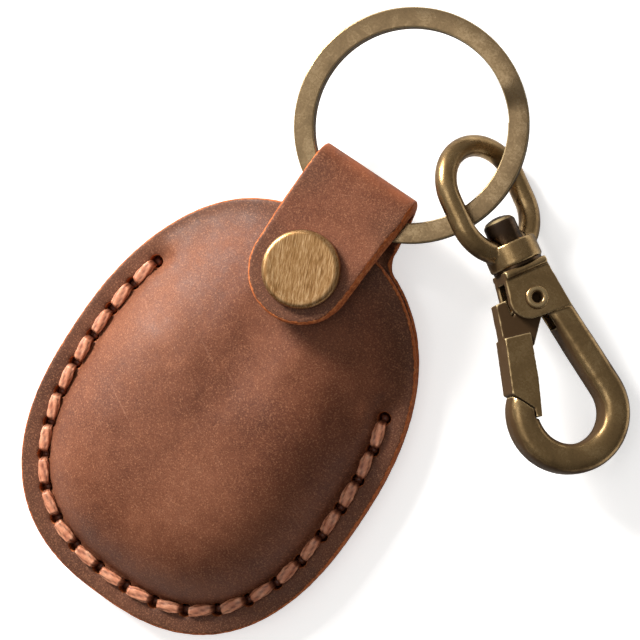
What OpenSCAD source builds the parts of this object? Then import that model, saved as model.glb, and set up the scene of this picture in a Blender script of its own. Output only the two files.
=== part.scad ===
// Leather tracker tag holder with a split key ring and a swivel trigger hook.
// It lies on its back: +Z is the front, +Y runs up the pouch towards the key ring.
// The origin is the middle of the pouch's flat back.

/* [Pouch] */
// Width of the pouch
pouch_w = 46; // [45:0.5:50]
// Length of the pouch
pouch_l = 58; // [56:0.5:62]
// Thickness of the leather
leather_t = 1.8; // [1.5:0.1:2.0]
// Thickness of the round tag that the pocket holds
tag_h = 8; // [6:0.5:9]
// Distance of the dome's middle below the top edge
dome_drop = 31.5; // [30:0.5:33]
// Height of the open mouth at its middle
mouth_gap = 4.4; // [4.2:0.1:5]

/* [Seam] */
// Distance of the stitch line from the edge
seam_inset = 3; // [2.8:0.1:3.4]
// Distance of the highest stitches below the top edge
seam_start = 17.2; // [16:0.2:20]
// Number of stitches
stitches = 23; // [19:1:25]
// Diameter of the stitch holes
hole_d = 1.7; // [1.6:0.1:1.8]
// Width of the flat waxed thread
thread_w = 1.3; // [1:0.1:1.4]
// Thickness of the thread
thread_t = 0.7; // [0.5:0.1:0.7]

/* [Strap] */
// Width of the strap
strap_w = 14.6; // [13:0.2:15.6]
// Reach of the fold's centre above the pouch
fold_reach = 5.2; // [5:0.1:6]
// Height of the fold's centre over the table
fold_z = 6.4; // [6:0.1:6.8]
// Inside radius of the fold
fold_r = 1.4; // [1.3:0.05:1.6]

/* [Snap] */
// Distance of the snap below the pouch's top edge
snap_drop = 7; // [6.5:0.1:7.5]
// Diameter of the cap
cap_d = 10; // [9:0.5:11]
// Height of the cap
cap_h = 1.2; // [1:0.1:1.6]
// Space between the leathers when the snap is shut
snap_gap = 2; // [1.9:0.1:2.2]

/* [Key ring] */
// Outside diameter of the ring
ring_od = 30; // [28:0.5:32]
// Width of the flat wire
wire_w = 2.6; // [2:0.1:2.8]
// Thickness of the flat wire
wire_t = 1; // [0.8:0.05:1.05]
// Direction of the step between the turns
ring_step_turn = 38; // [20:1:60]

/* [Swivel eye] */
// Thickness of the eye's bar
eye_bar = 2.8; // [2.4:0.1:2.9]
// Width of the eye between bar centres
eye_w = 11.2; // [10.6:0.1:12]
// Length of the eye between bar centres
eye_l = 14.6; // [13.8:0.1:15.4]
// Diameter of the collar
collar_d = 7; // [6.6:0.1:7.6]
// Diameter of the swivel pin
pin_d = 2.4; // [2:0.1:2.8]

/* [Hook] */
// Outside width of the round bow
bow_d = 15.6; // [15:0.2:17]
// Length from the swivel collar to the end of the bow
hook_l = 27.6; // [26:0.2:29]
// Width of the hook's bar
bar_w = 3.6; // [3.2:0.1:3.8]
// Thickness of the hook's bar and gate
bar_t = 4.4; // [4:0.1:4.8]
// Diameter of the hollow rivet
rivet_d = 2.5; // [2.2:0.1:2.8]

/* [Hidden] */

$fn = 48;
eps = 0.01;
overrun = 1;
running = 0.05;

leather = [0.42, 0.25, 0.18];
thread_colour = [0.8, 0.56, 0.46];
cap_brass = [0.72, 0.6, 0.38];
old_brass = [0.5, 0.42, 0.28];
dark_brass = [0.22, 0.18, 0.13];
steel = [0.6, 0.6, 0.6];

// Pouch outline: an egg of two half superellipses that meet at the widest line
top_y = pouch_l / 2;
widest_share = 0.53;
b_top = pouch_l * widest_share;
b_bottom = pouch_l - b_top;
widest_y = top_y - b_top;
top_power = 2.3;
bottom_power = 2.5;
outline_points = 72;
tag_clear = 0.4;
dome_h = tag_h + tag_clear;
dome_y = top_y - dome_drop;
// The dome's foot lies just inside the stitches
foot_clear = 0.5;
foot_inset = seam_inset + thread_w / 2 + foot_clear;
dome_power = 4;
flank_power = 0.8;
ring_shares = [0.16, 0.32, 0.46, 0.58, 0.69, 0.79, 0.87, 0.94, 1];
lip_slope = 6;
seam_clear_turn = 2.5;
lip_fade_share = 0.6;

// Seam
seam_end_y = top_y - seam_start;
seam_samples = 180;
groove_d = 0.8;
groove_clear = 0.2;
leg_t = 0.55;
leg_w = 0.9;
leg_gap = 0.15;
knot_d = 1.2;
knot_h = 0.8;
thread_round = 0.25;

// Snap stack, measured up from the front leather along the snap's axis
snap_y = top_y - snap_drop;
seat_z = 2 * leather_t + lip_height(snap_drop);
stud_base_d = 8;
stud_base_t = 0.6;
neck_d = 2.8;
bulb_d = 3.3;
bulb_t = 0.28;
socket_d = 8.4;
socket_clear = 0.1;
socket_plate_t = 0.25;
lip_t = 0.25;
lip_bore_d = 3.7;
cavity_d = 4.7;
spring_wire = 0.4;
spring_ring_d = 3.5;
spring_gap_turn = 40;
post_head_d = 7.6;
post_head_t = 0.5;
post_d = 2;
cap_tube_d = 2;
hole_clear = 0.05;
cap_round_share = 0.45;

// Strap, as a side view of Y and Z
fold_y = top_y + fold_reach;
root_back = 1.6;
root_y = top_y - root_back;
lift_back = 0.3;
lift_y = top_y - lift_back;
bend_reach = 5.3;
tab_z = seat_z + snap_gap * cos(lip_slope);
bend_y = snap_y + snap_gap * sin(lip_slope) + bend_reach * cos(lip_slope);
bend_z = tab_z - bend_reach * sin(lip_slope);
fold_outer_r = fold_r + leather_t;
back_slope = atan2(fold_z, fold_y - lift_y) - asin(fold_outer_r / norm([fold_y - lift_y, fold_z]));
front_slope = atan2(bend_z - fold_z, fold_y - bend_y)
    - asin(fold_r / norm([fold_y - bend_y, bend_z - fold_z]));
bend_half = (front_slope - lip_slope) / 2;
arc_steps = 14;
corner_steps = 5;

// Key ring: its wire touches neither the fold nor the layers of the strap
turn_gap = 0.06;
ring_t = 2 * wire_t + turn_gap;
ring_r = ring_od / 2;
ring_ri = ring_r - wire_w;
ring_clear = 0.25;
fold_wall = sqrt(pow(fold_r, 2) - pow(ring_t / 2, 2));
ring_y = fold_y + fold_wall - ring_clear + sqrt(pow(ring_ri, 2) - pow(strap_w / 2, 2));
ring_x_share = 0.033;
ring_x = ring_r * ring_x_share;
wire_chamfer = 0.2;
step_turn = 22;
step_end_turn = 3;
ring_facet_turn = 7.5;

// The hook's chain: its axis, seen from the ring's centre
chain_out_share = 1.36;
chain_down_share = 0.452;
chain_x = ring_x + ring_r * chain_out_share;
chain_y = ring_y - ring_r * chain_down_share;
chain_drop = 1;
chain_z = fold_z - chain_drop;
chain_turn = 58;
chain_pitch = 1.8;
eye_roll = 44;
hook_roll = 22;

// Swivel eye in its own frame: Y runs up the swivel axis, away from the hook
collar_h = 2.9;
collar_below = 0.7;
collar_low = -collar_below;
collar_floor = 2.1;
recess_d = 5;
eye_low = 1;
eye_mid = eye_low + eye_l / 2;
eye_points = 40;
bar_sides = 12;

// Swivel pin
pin_head_d = 4.2;
pin_head_h = 4;
pin_head_bevel = 0.4;
pin_dome_h = 0.4;

// Hook in the same frame
swivel_clear = 0.3;
hook_top = collar_low - swivel_clear;
block_h = 1.4;
block_w = 5.8;
block_t = 5;
ridge_w = 6.2;
ridge_h = 1;
ridge_chamfer = 0.3;
bow_r = bow_d / 2;
bow_mid_r = bow_r - bar_w / 2;
bow_x_share = -0.24;
bow_x = bow_r * bow_x_share;
bow_y = collar_low - hook_l + bow_r + swivel_clear;
bar_round = 1.2;
nose_turn = 142;
spine_tilt = 9;
joint_turn = 1;
pivot_left = 0.2;
pivot_x = -pivot_left;
pivot_drop = 4.5;
pivot_y = hook_top - pivot_drop;
lobe_r = 2.6;
lobe_left = 1.1;
lobe_x = -lobe_left;
lobe_up = 0.3;
cheek_gap = 2.8;
slot_in = 2.2;
spine_x = bow_x + bow_mid_r * cos(spine_tilt);
spine_y = bow_y + bow_mid_r * sin(spine_tilt);
spine_end_y = pivot_y;
spine_l = (spine_end_y - spine_y) / cos(spine_tilt);
// Outlines near the bow, as shares of its outside radius from its centre
nose_cut_shares = [
    [-1.4, 1.3], [-1.1, 0.9], [-0.825, 0.65], [-0.575, 0.281],
    [-0.61, 0.131], [-0.444, 0.056], [0.1, 0.056], [0.1, 1.3]
];
gate_end_shares = [
    [-0.78, 0.7], [-0.8, 0.644], [-0.556, 0.2875], [-0.5875, 0.144], [-0.5, 0.1125], [-0.294, 0.7]
];

// Gate
gate_side_clear = 0.1;
ear_t = 0.5;
gate_w = 3.4;
gate_drop = 3.1;
gate_lean = 10;
gate_left = 5.9;
boss_r = 1.9;
neck_left = 4.9;
neck_w = 1.4;
neck_up = 1.2;
neck_in = 1.2;

// Rivet and spring of the gate
rivet_bore_d = 1.4;
rivet_flange_d = 3;
rivet_flange_t = 0.35;
gate_wire = 0.36;
coil_d = 3.2;
coil_turns = 3;
coil_pitch = 0.4;
coil_facets = 14;
leg_l = 3.4;
leg_up_l = 2.1;

function signed_power(v, p) = sign(v) * pow(abs(v), p);
function egg_power(a) = sin(a) >= 0 ? top_power : bottom_power;
// A point of the egg outline, drawn in from the edge by inset
function egg(a, inset = 0) = [
    (pouch_w / 2 - inset) * signed_power(cos(a), 2 / egg_power(a)),
    widest_y + ((sin(a) >= 0 ? b_top : b_bottom) - inset) * signed_power(sin(a), 2 / egg_power(a))
];
function egg_outline(inset = 0) = [for (i = [0:outline_points - 1]) egg(360 * i / outline_points, inset)];

// Height of the front leather's inside over the back, on the middle line, d below the lip:
// a straight slope at the lip that eases into the level middle of the dome
function lip_line(d) = mouth_gap + d * tan(lip_slope);
function lip_height(d) = let (t = dome_drop - d, ease = dome_drop * lip_fade_share, u = min(1, t / ease))
    u < 1
    ? dome_h + (3 - 2 * u) * pow(u, 2) * (lip_line(dome_drop - ease) - dome_h)
        + (1 - u) * pow(u, 2) * ease * tan(lip_slope)
    : lip_line(d);
function closed_height(share) = dome_h * pow(max(0, 1 - pow(share, dome_power)), flank_power);
seam_end_a = asin(pow((seam_end_y - widest_y) / (b_top - seam_inset), top_power / 2));
seam_end = egg(seam_end_a, seam_inset);
open_turn = atan2(seam_end.x, seam_end.y - dome_y) - seam_clear_turn;
// How far the mouth is open in the direction p: 1 at the middle of the lip, 0 from the seam's end
function openness(p) = let (turn = abs(atan2(p.x, p.y - dome_y)))
    turn < open_turn ? pow(cos(90 * turn / open_turn), 2) : 0;
function dome_height(p, share, foot_share) = let (w = openness(p))
    w * lip_height(dome_drop * (1 - share)) + (1 - w) * closed_height(min(1, share / foot_share));

// Points along the stitch line at equal steps
seam_curve = [for (i = [0:seam_samples])
    egg(180 - seam_end_a + (180 + 2 * seam_end_a) * i / seam_samples, seam_inset)];
seam_run = [for (i = 0, s = 0; i <= seam_samples;
    s = s + (i < seam_samples ? norm(seam_curve[i + 1] - seam_curve[i]) : 0), i = i + 1) s];
seam_xs = [for (i = [0:seam_samples]) [seam_run[i], seam_curve[i].x]];
seam_ys = [for (i = [0:seam_samples]) [seam_run[i], seam_curve[i].y]];
function seam_hole(k) = let (s = seam_run[seam_samples] * k / stitches)
    [lookup(s, seam_xs), lookup(s, seam_ys)];

// Faces between loops of n points each, closed at both ends by fans
function tube_faces(loops, n) = concat(
    [for (j = [0:loops - 2]) for (i = [0:n - 1])
        [j * n + i, j * n + (i + 1) % n, (j + 1) * n + (i + 1) % n]],
    [for (j = [0:loops - 2]) for (i = [0:n - 1])
        [j * n + i, (j + 1) * n + (i + 1) % n, (j + 1) * n + i]],
    [for (i = [1:n - 2]) [0, i + 1, i]],
    [for (i = [1:n - 2]) [(loops - 1) * n, (loops - 1) * n + i, (loops - 1) * n + i + 1]]
);
function flipped(faces) = [for (f = faces) [f[2], f[1], f[0]]];

// A flat bar's section with its corners cut off
function bar_section(w, t, c) = [
    [-w / 2, -t / 2 + c], [-w / 2 + c, -t / 2], [w / 2 - c, -t / 2], [w / 2, -t / 2 + c],
    [w / 2, t / 2 - c], [w / 2 - c, t / 2], [-w / 2 + c, t / 2], [-w / 2, t / 2 - c]
];

// The same with rounded corners
function round_section(w, t, r) = [for (q = [0:3]) for (i = [0:corner_steps]) let (
    a = 90 * q + 90 * i / corner_steps, c = [(w / 2 - r) * sign(cos(90 * q + 45)), (t / 2 - r) * sign(sin(90 * q + 45))]
) c + r * [cos(a), sin(a)]];

module stitch_holes(from_z, height) {
    for (k = [0:stitches])
        translate(concat(seam_hole(k), from_z)) cylinder(d = hole_d, h = height);
}

module in_snap_frame() {
    translate([0, snap_y, seat_z]) rotate([-lip_slope, 0, 0]) children();
}

module in_chain_frame(roll) {
    translate([chain_x, chain_y, chain_z])
        rotate([0, 0, chain_turn]) rotate([chain_pitch, 0, 0]) rotate([0, roll, 0]) children();
}

// A side view of Y and Z, drawn through the strap's width
module across_strap() {
    rotate([90, 0, 90]) translate([0, 0, -strap_w / 2]) linear_extrude(strap_w) children();
}

module back_panel() {
    color(leather) difference() {
        linear_extrude(leather_t) polygon(egg_outline());
        translate([-strap_w / 2, root_y, -overrun])
            cube([strap_w, pouch_l, leather_t + 2 * overrun]);
        stitch_holes(-overrun, leather_t + 2 * overrun);
        translate([0, 0, -overrun]) linear_extrude(overrun + groove_d) intersection() {
            difference() {
                polygon(egg_outline(seam_inset - thread_w / 2 - groove_clear));
                polygon(egg_outline(seam_inset + thread_w / 2 + groove_clear));
            }
            translate([-pouch_w, seam_end_y - 2 * pouch_l])
                square([2 * pouch_w, 2 * pouch_l + hole_d / 2]);
        }
    }
}

// The moulded front: one grid of points for the top and one for the inside
module front_panel() {
    edge = egg_outline();
    middle = [0, dome_y];
    loops = len(ring_shares) + 1;
    function foot_share(p) = 1 - foot_inset / norm(p - middle);
    function grid_share(p, j) = j < loops - 1 ? ring_shares[j] * foot_share(p) : 1;
    inside = concat([[0, dome_y, leather_t + dome_h]], [
        for (j = [0:loops - 1]) for (p = edge) let (s = grid_share(p, j), q = middle + s * (p - middle))
            [q.x, q.y, leather_t + dome_height(p, s, foot_share(p))]
    ]);
    n = outline_points;
    top = [for (p = inside) p + [0, 0, leather_t]];
    skin = concat(
        [for (i = [0:n - 1]) [0, 1 + (i + 1) % n, 1 + i]],
        [for (j = [0:loops - 2]) for (i = [0:n - 1])
            [1 + j * n + i, 1 + j * n + (i + 1) % n, 1 + (j + 1) * n + (i + 1) % n]],
        [for (j = [0:loops - 2]) for (i = [0:n - 1])
            [1 + j * n + i, 1 + (j + 1) * n + (i + 1) % n, 1 + (j + 1) * n + i]]
    );
    low = len(inside);
    rim = 1 + (loops - 1) * n;
    wall = concat(
        [for (i = [0:n - 1]) [rim + i, rim + (i + 1) % n, low + rim + (i + 1) % n]],
        [for (i = [0:n - 1]) [rim + i, low + rim + (i + 1) % n, low + rim + i]]
    );
    color(leather) difference() {
        polyhedron(
            concat(top, inside),
            concat(skin, flipped([for (f = skin) f + [low, low, low]]), wall)
        );
        stitch_holes(leather_t - overrun, leather_t + 2 * overrun);
        in_snap_frame() translate([0, 0, -leather_t - overrun])
            cylinder(d = post_d, h = leather_t + 2 * overrun);
    }
}

// One stitch: a flat bar on the front, one on the back and a leg down each hole
module seam_thread() {
    front_z = 2 * leather_t;
    back_z = groove_d - thread_t;
    color(thread_colour) for (k = [0:stitches - 1]) {
        a = seam_hole(k);
        b = seam_hole(k + 1);
        reach = norm(b - a) / 2 - leg_gap;
        translate(concat((a + b) / 2, 0)) rotate([90, 0, atan2(b.y - a.y, b.x - a.x)]) {
            translate([0, 0, -thread_w / 2]) linear_extrude(thread_w) polygon([
                [-reach, front_z], [reach, front_z], [reach, front_z + thread_t - thread_round],
                [reach - thread_round, front_z + thread_t], [-reach + thread_round, front_z + thread_t],
                [-reach, front_z + thread_t - thread_round]
            ]);
            translate([-reach, back_z, -thread_w / 2]) cube([2 * reach, thread_t, thread_w]);
            for (side = [-1, 1])
                translate([side * (reach - leg_t / 2) - leg_t / 2, back_z, -leg_w / 2])
                    cube([leg_t, front_z - back_z + thread_t / 2, leg_w]);
        }
    }
    color(thread_colour) for (k = [0:stitches])
        translate(concat(seam_hole(k), leather_t - knot_h / 2)) cylinder(d = knot_d, h = knot_h);
}

// The strap's loop: up from the back, round the key ring and down to the bend of the front layer
module strap_fold() {
    function on_fold(r, a) = [fold_y + r * cos(a), fold_z + r * sin(a)];
    low_a = back_slope - 90;
    high_a = 90 - front_slope;
    inner_low = on_fold(fold_r, low_a);
    inner_lift_y = inner_low.x - (inner_low.y - leather_t) / tan(back_slope);
    corner = leather_t / cos(bend_half);
    corner_a = lip_slope + bend_half;
    color(leather) across_strap() polygon(concat(
        [[root_y, 0], [lift_y, 0]],
        [for (i = [0:arc_steps]) on_fold(fold_outer_r, low_a + (high_a - low_a) * i / arc_steps)],
        [[bend_y + corner * sin(corner_a), bend_z + corner * cos(corner_a)], [bend_y, bend_z]],
        [for (i = [0:arc_steps]) on_fold(fold_r, high_a - (high_a - low_a) * i / arc_steps)],
        [[inner_lift_y, leather_t], [root_y, leather_t]]
    ));
}

// The snap end of the strap, with its round tip
module strap_flap() {
    color(leather) in_snap_frame() difference() {
        union() {
            translate([0, 0, snap_gap]) rotate([0, 0, 180])
                rotate_extrude(angle = 180) square([strap_w / 2, leather_t]);
            across_strap() polygon([
                [0, snap_gap], [bend_reach, snap_gap],
                [bend_reach + leather_t * tan(bend_half), snap_gap + leather_t], [0, snap_gap + leather_t]
            ]);
        }
        translate([0, 0, snap_gap - overrun])
            cylinder(d = cap_tube_d + 2 * hole_clear, h = leather_t + 2 * overrun);
    }
}

module snap_cap() {
    cap_z = snap_gap + leather_t;
    rounding = cap_h * cap_round_share;
    color(cap_brass) in_snap_frame() {
        translate([0, 0, cap_z]) rotate_extrude() {
            square([cap_d / 2 - rounding, cap_h]);
            square([cap_d / 2, cap_h - rounding]);
            translate([cap_d / 2 - rounding, cap_h - rounding]) circle(r = rounding);
        }
        translate([0, 0, snap_gap]) cylinder(d = cap_tube_d, h = leather_t + cap_h / 2);
    }
}

module snap_socket() {
    low_z = stud_base_t + socket_clear;
    color(old_brass) in_snap_frame() difference() {
        translate([0, 0, low_z]) cylinder(d = socket_d, h = snap_gap - low_z);
        translate([0, 0, low_z - overrun]) cylinder(d = lip_bore_d, h = lip_t + 2 * overrun - eps);
        translate([0, 0, low_z + lip_t])
            cylinder(d = cavity_d, h = snap_gap - low_z - lip_t - socket_plate_t);
    }
}

// An open ring of wire in the socket that snaps under the stud's bulb
module socket_spring() {
    color(steel) in_snap_frame()
        translate([0, 0, stud_base_t + socket_clear + lip_t + spring_wire / 2])
            rotate_extrude(angle = 360 - spring_gap_turn)
                translate([spring_ring_d / 2, 0]) circle(d = spring_wire);
}

module snap_stud() {
    bulb_top = snap_gap - socket_plate_t - socket_clear;
    color(old_brass) in_snap_frame() difference() {
        union() {
            cylinder(d = stud_base_d, h = stud_base_t);
            cylinder(d = neck_d, h = bulb_top);
            translate([0, 0, bulb_top - bulb_t]) cylinder(d = bulb_d, h = bulb_t);
        }
        translate([0, 0, -overrun]) cylinder(d = post_d, h = overrun + bulb_top - bulb_t);
    }
}

module snap_post() {
    under = leather_t * cos(lip_slope);
    color(old_brass) in_snap_frame() {
        translate([0, 0, -under - post_head_t]) cylinder(d = post_head_d, h = post_head_t);
        translate([0, 0, -under]) cylinder(d = post_d, h = under + stud_base_t);
    }
}

// Two turns of flat wire: a low turn, a short step and a high turn
module split_ring() {
    level = (wire_t + turn_gap) / 2;
    first = step_turn + step_end_turn - 360;
    last = 360 - step_end_turn;
    turns = concat(
        [for (a = [first:ring_facet_turn:-eps]) a],
        [for (a = [0:step_turn / 4:step_turn - eps]) a],
        [for (a = [step_turn:ring_facet_turn:last]) a],
        [last]
    );
    section = bar_section(wire_w, wire_t, wire_chamfer);
    function climb(a) = level * sin(90 * max(-1, min(1, 2 * a / step_turn - 1)));
    points = [for (a = turns) for (p = section) [
        (ring_r - wire_w / 2 + p.x) * cos(a + ring_step_turn),
        (ring_r - wire_w / 2 + p.x) * sin(a + ring_step_turn), climb(a) + p.y
    ]];
    color(old_brass) translate([ring_x, ring_y, fold_z])
        polyhedron(points, tube_faces(len(turns), len(section)));
}

// Oval loop with a recessed collar, bored for the swivel pin
module swivel_eye() {
    n = bar_sides;
    straight = (eye_l - eye_w) / 2;
    points = [for (j = [0:eye_points - 1]) for (i = [0:n - 1]) let (
        a = 360 * (j + 0.5) / eye_points, b = 360 * i / n, r = eye_w / 2 + eye_bar / 2 * cos(b)
    ) [r * cos(a), eye_mid + sign(sin(a)) * straight + r * sin(a), eye_bar / 2 * sin(b)]];
    total = eye_points * n;
    faces = concat(
        [for (j = [0:eye_points - 1]) for (i = [0:n - 1])
            [j * n + i, j * n + (i + 1) % n, ((j + 1) * n + (i + 1) % n) % total]],
        [for (j = [0:eye_points - 1]) for (i = [0:n - 1])
            [j * n + i, ((j + 1) * n + (i + 1) % n) % total, ((j + 1) * n + i) % total]]
    );
    color(old_brass) in_chain_frame(eye_roll) difference() {
        union() {
            polyhedron(points, faces);
            translate([0, collar_low, 0]) rotate([-90, 0, 0]) cylinder(d = collar_d, h = collar_h);
        }
        translate([0, collar_low - overrun, 0]) rotate([-90, 0, 0])
            cylinder(d = pin_d + 2 * running, h = collar_h + overrun);
        translate([0, collar_low + collar_floor, 0]) rotate([-90, 0, 0])
            cylinder(d = recess_d, h = collar_h + pin_head_h);
    }
}

// Dark round head inside the eye, with its shank through the collar into the hook
module swivel_pin() {
    head_y = collar_low + collar_floor + running;
    shank_y = hook_top - block_h;
    top_r = pin_head_d / 2 - pin_head_bevel;
    dome_r = (pow(top_r, 2) + pow(pin_dome_h, 2)) / (2 * pin_dome_h);
    color(dark_brass) in_chain_frame(hook_roll) rotate([-90, 0, 0]) {
        translate([0, 0, shank_y]) cylinder(d = pin_d, h = head_y - shank_y + pin_head_h / 2);
        translate([0, 0, head_y]) cylinder(d = pin_head_d, h = pin_head_h - pin_head_bevel);
        translate([0, 0, head_y + pin_head_h - pin_head_bevel])
            cylinder(d1 = pin_head_d, r2 = top_r, h = pin_head_bevel);
        intersection() {
            translate([0, 0, head_y + pin_head_h / 2]) cylinder(r = top_r, h = pin_head_h);
            translate([0, 0, head_y + pin_head_h + pin_dome_h - dome_r]) sphere(r = dome_r);
        }
    }
}

module rivet_hole(d) {
    translate([pivot_x, pivot_y, -block_t]) cylinder(d = d, h = 2 * block_t);
}

module hook_body() {
    section = round_section(bar_w, bar_t, bar_round);
    color(old_brass) in_chain_frame(hook_roll) difference() {
        union() {
            translate([bow_x, bow_y, 0]) difference() {
                rotate([0, 0, nose_turn]) rotate_extrude(angle = 360 + spine_tilt + joint_turn - nose_turn)
                    translate([bow_mid_r, 0]) polygon(section);
                translate([0, 0, -bar_t]) linear_extrude(2 * bar_t) polygon(nose_cut_shares * bow_r);
            }
            translate([spine_x, spine_y, 0]) rotate([0, 0, spine_tilt]) rotate([-90, 0, 0])
                linear_extrude(spine_l) polygon(section);
            translate([0, 0, -block_t / 2]) linear_extrude(block_t) {
                polygon([
                    [-block_w / 2, hook_top], [block_w / 2, hook_top],
                    [spine_x - spine_l * sin(spine_tilt) + bar_w / 2, pivot_y - lobe_r],
                    [lobe_x, pivot_y + lobe_up - lobe_r], [lobe_x - lobe_r, pivot_y + lobe_up]
                ]);
                translate([lobe_x, pivot_y + lobe_up]) circle(r = lobe_r);
            }
            translate([0, hook_top - ridge_h / 2, 0]) rotate([0, 90, 0])
                translate([0, 0, -block_w / 2]) linear_extrude(block_w)
                    polygon(bar_section(ridge_w, ridge_h, ridge_chamfer));
        }
        translate([-block_w, pivot_y - pivot_drop, -cheek_gap / 2])
            cube([block_w + slot_in, 2 * pivot_drop - block_h, cheek_gap]);
        rivet_hole(rivet_d);
        translate([0, hook_top - block_h - overrun, 0]) rotate([-90, 0, 0])
            cylinder(d = pin_d, h = block_h + 2 * overrun);
    }
}

// The gate: a full bar below the cheeks and two ears between them
module gate() {
    end = [for (s = gate_end_shares) [bow_x, bow_y] + s * bow_r];
    top_right = [pivot_x - gate_left + gate_w, pivot_y - gate_drop - gate_w * sin(gate_lean)];
    top_left = [pivot_x - gate_left, pivot_y - gate_drop];
    ear_z = cheek_gap / 2 - gate_side_clear - ear_t;
    color(old_brass) in_chain_frame(hook_roll) difference() {
        union() {
            translate([0, 0, -bar_t / 2]) linear_extrude(bar_t) polygon(concat([top_right, top_left], end));
            translate([0, 0, -ear_z - ear_t]) linear_extrude(2 * (ear_z + ear_t)) polygon([
                top_left, top_right - [0, gate_w / 2], top_right - [neck_in, 0],
                [pivot_x - neck_left + neck_w, pivot_y + neck_up], [pivot_x - neck_left, pivot_y + neck_up]
            ]);
            for (z = [ear_z, -ear_z - ear_t]) translate([0, 0, z]) linear_extrude(ear_t) {
                translate([pivot_x, pivot_y]) circle(r = boss_r);
                polygon([
                    [pivot_x, pivot_y + boss_r], [pivot_x + boss_r, pivot_y],
                    top_right - [0, gate_w / 2], top_left - [0, gate_w / 2], top_left
                ]);
            }
        }
        rivet_hole(rivet_d + 2 * running);
    }
}

module gate_rivet() {
    color(cap_brass) in_chain_frame(hook_roll) difference() {
        union() {
            translate([pivot_x, pivot_y, -block_t / 2]) cylinder(d = rivet_d, h = block_t);
            for (z = [-block_t / 2 - rivet_flange_t, block_t / 2])
                translate([pivot_x, pivot_y, z]) cylinder(d = rivet_flange_d, h = rivet_flange_t);
        }
        rivet_hole(rivet_bore_d);
    }
}

// Torsion spring round the rivet: one leg on the gate, one up to the block
module gate_spring() {
    n = coil_facets;
    half = coil_turns * coil_pitch / 2;
    low_leg = 215;
    high_leg = 360;
    turn = coil_turns * 360 + high_leg - low_leg - 180;
    steps = ceil(n * turn / 360);
    coil = [for (i = [0:steps]) let (a = low_leg + 90 + turn * i / steps) [
        coil_d / 2 * cos(a), coil_d / 2 * sin(a), -half + 2 * half * i / steps
    ]];
    start_a = low_leg + 90;
    end_a = start_a + turn;
    path = concat(
        [coil[0] - leg_l * [-sin(start_a), cos(start_a), 0]],
        coil,
        [coil[steps] + leg_up_l * [-sin(end_a), cos(end_a), 0]]
    );
    last = len(path) - 1;
    sides = 8;
    points = [for (i = [0:last]) for (j = [0:sides - 1]) let (
        run = path[min(last, i + 1)] - path[max(0, i - 1)],
        flat = [run.x, run.y] / norm([run.x, run.y]),
        a = 360 * j / sides
    ) path[i] + gate_wire / 2 * [flat.y * cos(a), -flat.x * cos(a), sin(a)]];
    color(steel) in_chain_frame(hook_roll) translate([pivot_x, pivot_y, 0])
        polyhedron(points, tube_faces(len(path), sides));
}

back_panel();
front_panel();
seam_thread();
strap_fold();
strap_flap();
snap_cap();
snap_socket();
socket_spring();
snap_stud();
snap_post();
split_ring();
swivel_eye();
swivel_pin();
hook_body();
gate();
gate_rivet();
gate_spring();
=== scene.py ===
import math

import bmesh
import bpy
import numpy as np
from mathutils import Matrix, Vector, noise
from mathutils.geometry import delaunay_2d_cdt


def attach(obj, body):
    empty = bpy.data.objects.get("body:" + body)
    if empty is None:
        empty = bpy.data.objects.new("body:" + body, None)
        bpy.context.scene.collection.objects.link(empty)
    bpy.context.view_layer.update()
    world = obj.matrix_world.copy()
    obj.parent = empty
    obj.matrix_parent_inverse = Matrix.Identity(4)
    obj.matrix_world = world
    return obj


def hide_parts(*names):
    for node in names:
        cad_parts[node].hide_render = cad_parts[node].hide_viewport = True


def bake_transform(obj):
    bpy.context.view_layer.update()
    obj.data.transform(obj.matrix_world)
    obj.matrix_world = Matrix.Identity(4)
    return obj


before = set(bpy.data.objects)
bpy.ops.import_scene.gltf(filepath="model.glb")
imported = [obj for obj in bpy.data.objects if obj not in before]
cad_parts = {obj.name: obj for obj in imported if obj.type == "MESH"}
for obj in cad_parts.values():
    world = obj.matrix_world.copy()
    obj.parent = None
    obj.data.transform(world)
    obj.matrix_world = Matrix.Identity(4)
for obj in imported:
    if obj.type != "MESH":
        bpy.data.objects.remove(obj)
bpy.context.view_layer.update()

# Leather tracker tag holder. Shapes are in millimetres. Bumps, lamps and the blend are in metres.
MM = 0.001

# Camera, at the photograph's angle
CAM_AZIMUTH, CAM_TILT, CAM_ROLL = 33.0, 10.0, 34.033468
CAM_DISTANCE = 260.0
CAM_TARGET = Vector((4.531, 17.877, 6.0))
CAM_FOCAL_PX, FRAME_PX, SENSOR = 2027.93024, 640, 36.0
CAM_NEAR_M, CAM_FAR_M = 0.01, 20


def new_object(name, data):
    obj = bpy.data.objects.new(name, data)
    bpy.context.scene.collection.objects.link(obj)
    return obj


def make_camera():
    azimuth, tilt, roll = (math.radians(v) for v in (CAM_AZIMUTH, CAM_TILT, CAM_ROLL))
    back = Vector((math.sin(tilt) * math.cos(azimuth), math.sin(tilt) * math.sin(azimuth), math.cos(tilt)))
    right = Vector((math.cos(roll), math.sin(roll), 0))
    right = (right - right.dot(back) * back).normalized()
    up = back.cross(right)
    data = bpy.data.cameras.new("camera")
    data.sensor_width = SENSOR
    data.lens = SENSOR * CAM_FOCAL_PX / FRAME_PX
    data.clip_start, data.clip_end = CAM_NEAR_M, CAM_FAR_M
    camera = new_object("camera", data)
    place = Matrix((right, up, back)).transposed().to_4x4()
    place.translation = (CAM_TARGET + CAM_DISTANCE * back) * MM
    camera.matrix_world = place
    bpy.context.scene.camera = camera


make_camera()
bpy.context.scene.view_settings.view_transform = "Standard"

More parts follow.
